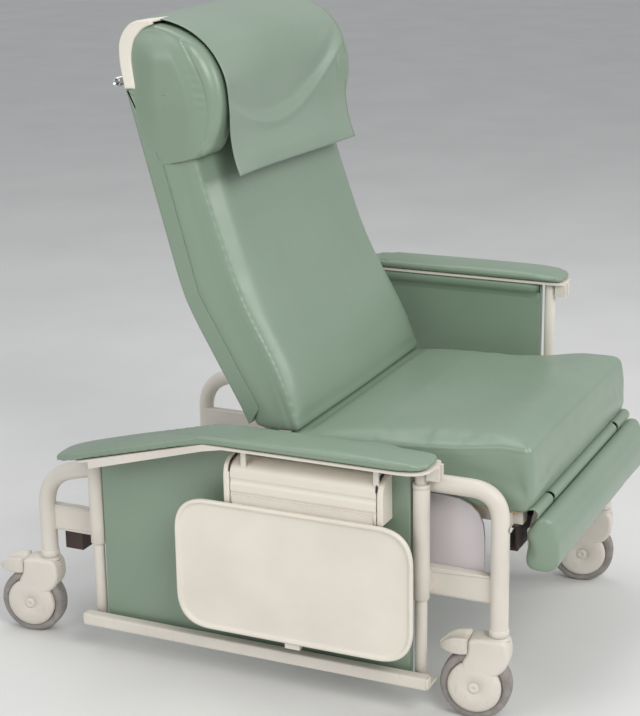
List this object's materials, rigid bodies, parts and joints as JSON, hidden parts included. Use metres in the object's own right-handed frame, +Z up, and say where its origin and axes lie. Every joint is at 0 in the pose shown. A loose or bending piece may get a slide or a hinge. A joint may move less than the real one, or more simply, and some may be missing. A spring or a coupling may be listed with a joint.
{
  "type": "patient recliner chair",
  "caption": "Padded clinical recliner on swivel casters with drop-down arms, reclining winged back with head sheet, lifting legrest and a fold-down side tray.",
  "frame": {"origin": "on the floor, at the middle of the chair's footprint box", "axes": "+Z up, -Y towards the front of the chair, +X towards the sitter's left"},
  "size_m": [0.834, 1.0984, 1.1747],
  "materials": {
    "painted_steel": "satin powder coat",
    "shield_plastic": "matte",
    "dark_steel": "matte dark brown",
    "bright_steel": "polished",
    "board": "plain",
    "upholstery": "smooth sage green vinyl over foam",
    "ivory_plastic": "fine moulded satin",
    "tread": "matte grey"
  },
  "bodies": {
    "frame": {"side_frame_right": "painted_steel", "side_frame_left": "painted_steel", "sleeve_front_right": "painted_steel", "sleeve_front_left": "painted_steel", "sleeve_rear_right": "painted_steel", "sleeve_rear_left": "painted_steel", "seat_shield_right": "shield_plastic", "seat_shield_left": "shield_plastic", "seat_rail_right": "painted_steel", "seat_rail_left": "painted_steel", "front_channel": "dark_steel", "rear_channel": "dark_steel", "seat_board": "board", "seat_cushion": "upholstery", "legrest_rod": "bright_steel", "gas_spring_cylinder": "dark_steel"},
    "back": {"back_rail_right": "painted_steel", "back_rail_left": "painted_steel", "head_wing_right": "upholstery", "head_wing_left": "upholstery", "back_board": "board", "back_rear_cover": "upholstery", "back_cushion": "upholstery", "back_cap": "ivory_plastic", "push_bar": "bright_steel", "head_cover": "upholstery"},
    "spring_rod": {"gas_spring_rod": "bright_steel"},
    "legrest": {"legrest_frame": "painted_steel", "legrest_pad": "upholstery"},
    "arm_right": {"arm_post_front_right": "painted_steel", "arm_post_rear_right": "painted_steel", "arm_rail_right": "painted_steel", "arm_panel_right": "upholstery", "arm_plate_right": "painted_steel", "arm_pad_right": "upholstery", "tray_housing": "ivory_plastic"},
    "arm_left": {"arm_post_front_left": "painted_steel", "arm_post_rear_left": "painted_steel", "arm_rail_left": "painted_steel", "arm_panel_left": "upholstery", "arm_plate_left": "painted_steel", "arm_pad_left": "upholstery"},
    "tray": {"tray_bracket": "painted_steel", "side_tray": "ivory_plastic"},
    "caster_front_right": {"caster_housing_front_right": "ivory_plastic"},
    "wheel_front_right": {"wheel_hub_front_right": "ivory_plastic", "tyre_front_right": "tread"},
    "pedal_front_right": {"caster_pedal_front_right": "ivory_plastic"},
    "caster_rear_right": {"caster_housing_rear_right": "ivory_plastic"},
    "wheel_rear_right": {"wheel_hub_rear_right": "ivory_plastic", "tyre_rear_right": "tread"},
    "pedal_rear_right": {"caster_pedal_rear_right": "ivory_plastic"},
    "caster_front_left": {"caster_housing_front_left": "ivory_plastic"},
    "wheel_front_left": {"wheel_hub_front_left": "ivory_plastic", "tyre_front_left": "tread"},
    "pedal_front_left": {"caster_pedal_front_left": "ivory_plastic"},
    "caster_rear_left": {"caster_housing_rear_left": "ivory_plastic"},
    "wheel_rear_left": {"wheel_hub_rear_left": "ivory_plastic", "tyre_rear_left": "tread"},
    "pedal_rear_left": {"caster_pedal_rear_left": "ivory_plastic"}
  },
  "joints": [
    {"name": "back_recline", "type": "hinge", "parent": "frame", "child": "back", "pos_m": [0, 0.0011, 0.43], "axis": [-1, 0, 0], "range_deg": [0, 50]},
    {"name": "spring_stroke", "type": "slide", "parent": "frame", "child": "spring_rod", "axis": [0, 1, 0], "range_m": [-0.0765, 0]},
    {"name": "legrest_raise", "type": "hinge", "parent": "frame", "child": "legrest", "pos_m": [0, -0.4999, 0.371], "axis": [-1, 0, 0], "range_deg": [0, 80]},
    {"name": "arm_right_lift", "type": "slide", "parent": "frame", "child": "arm_right", "axis": [0, 0, 1], "range_m": [0, 0.146]},
    {"name": "arm_left_lift", "type": "slide", "parent": "frame", "child": "arm_left", "axis": [0, 0, 1], "range_m": [-0.146, 0]},
    {"name": "tray_swing", "type": "hinge", "parent": "arm_right", "child": "tray", "pos_m": [-0.392, -0.1259, 0.371], "axis": [0, 1, 0], "range_deg": [0, 90]},
    {"name": "swivel_front_right", "type": "hinge", "parent": "frame", "child": "caster_front_right", "pos_m": [-0.319, -0.4549, 0.155], "axis": [0, 0, 1], "continuous": true},
    {"name": "wheel_spin_front_right", "type": "hinge", "parent": "caster_front_right", "child": "wheel_front_right", "pos_m": [-0.32363, -0.41718, 0.0625], "axis": [0.9925, 0.1219, 0], "continuous": true},
    {"name": "pedal_press_front_right", "type": "hinge", "parent": "caster_front_right", "child": "pedal_front_right", "pos_m": [-0.32509, -0.40527, 0.137], "axis": [-0.9925, -0.1219, 0], "range_deg": [0, 12]},
    {"name": "swivel_rear_right", "type": "hinge", "parent": "frame", "child": "caster_rear_right", "pos_m": [-0.319, 0.4471, 0.155], "axis": [0, 0, 1], "continuous": true},
    {"name": "wheel_spin_rear_right", "type": "hinge", "parent": "caster_rear_right", "child": "wheel_rear_right", "pos_m": [-0.32494, 0.48463, 0.0625], "axis": [0.9877, 0.1564, 0], "continuous": true},
    {"name": "pedal_press_rear_right", "type": "hinge", "parent": "caster_rear_right", "child": "pedal_rear_right", "pos_m": [-0.32682, 0.49649, 0.137], "axis": [-0.9877, -0.1564, 0], "range_deg": [0, 12]},
    {"name": "swivel_front_left", "type": "hinge", "parent": "frame", "child": "caster_front_left", "pos_m": [0.319, -0.4549, 0.155], "axis": [0, 0, 1], "continuous": true},
    {"name": "wheel_spin_front_left", "type": "hinge", "parent": "caster_front_left", "child": "wheel_front_left", "pos_m": [0.3111, -0.41773, 0.0625], "axis": [0.9781, 0.2079, 0], "continuous": true},
    {"name": "pedal_press_front_left", "type": "hinge", "parent": "caster_front_left", "child": "pedal_front_left", "pos_m": [0.3086, -0.40599, 0.137], "axis": [-0.9781, -0.2079, 0], "range_deg": [0, 12]},
    {"name": "swivel_rear_left", "type": "hinge", "parent": "frame", "child": "caster_rear_left", "pos_m": [0.319, 0.4471, 0.155], "axis": [0, 0, 1], "continuous": true},
    {"name": "wheel_spin_rear_left", "type": "hinge", "parent": "caster_rear_left", "child": "wheel_rear_left", "pos_m": [0.306, 0.48281, 0.0625], "axis": [0.9397, 0.342, 0], "continuous": true},
    {"name": "pedal_press_rear_left", "type": "hinge", "parent": "caster_rear_left", "child": "pedal_rear_left", "pos_m": [0.3019, 0.49409, 0.137], "axis": [-0.9397, -0.342, 0], "range_deg": [0, 12]}
  ],
  "couplings": [
    {"joint": "spring_stroke", "follows": "back_recline", "m_per_rad": -0.086563},
    {"joint": "legrest_raise", "follows": "back_recline", "ratio": 1.6}
  ]
}
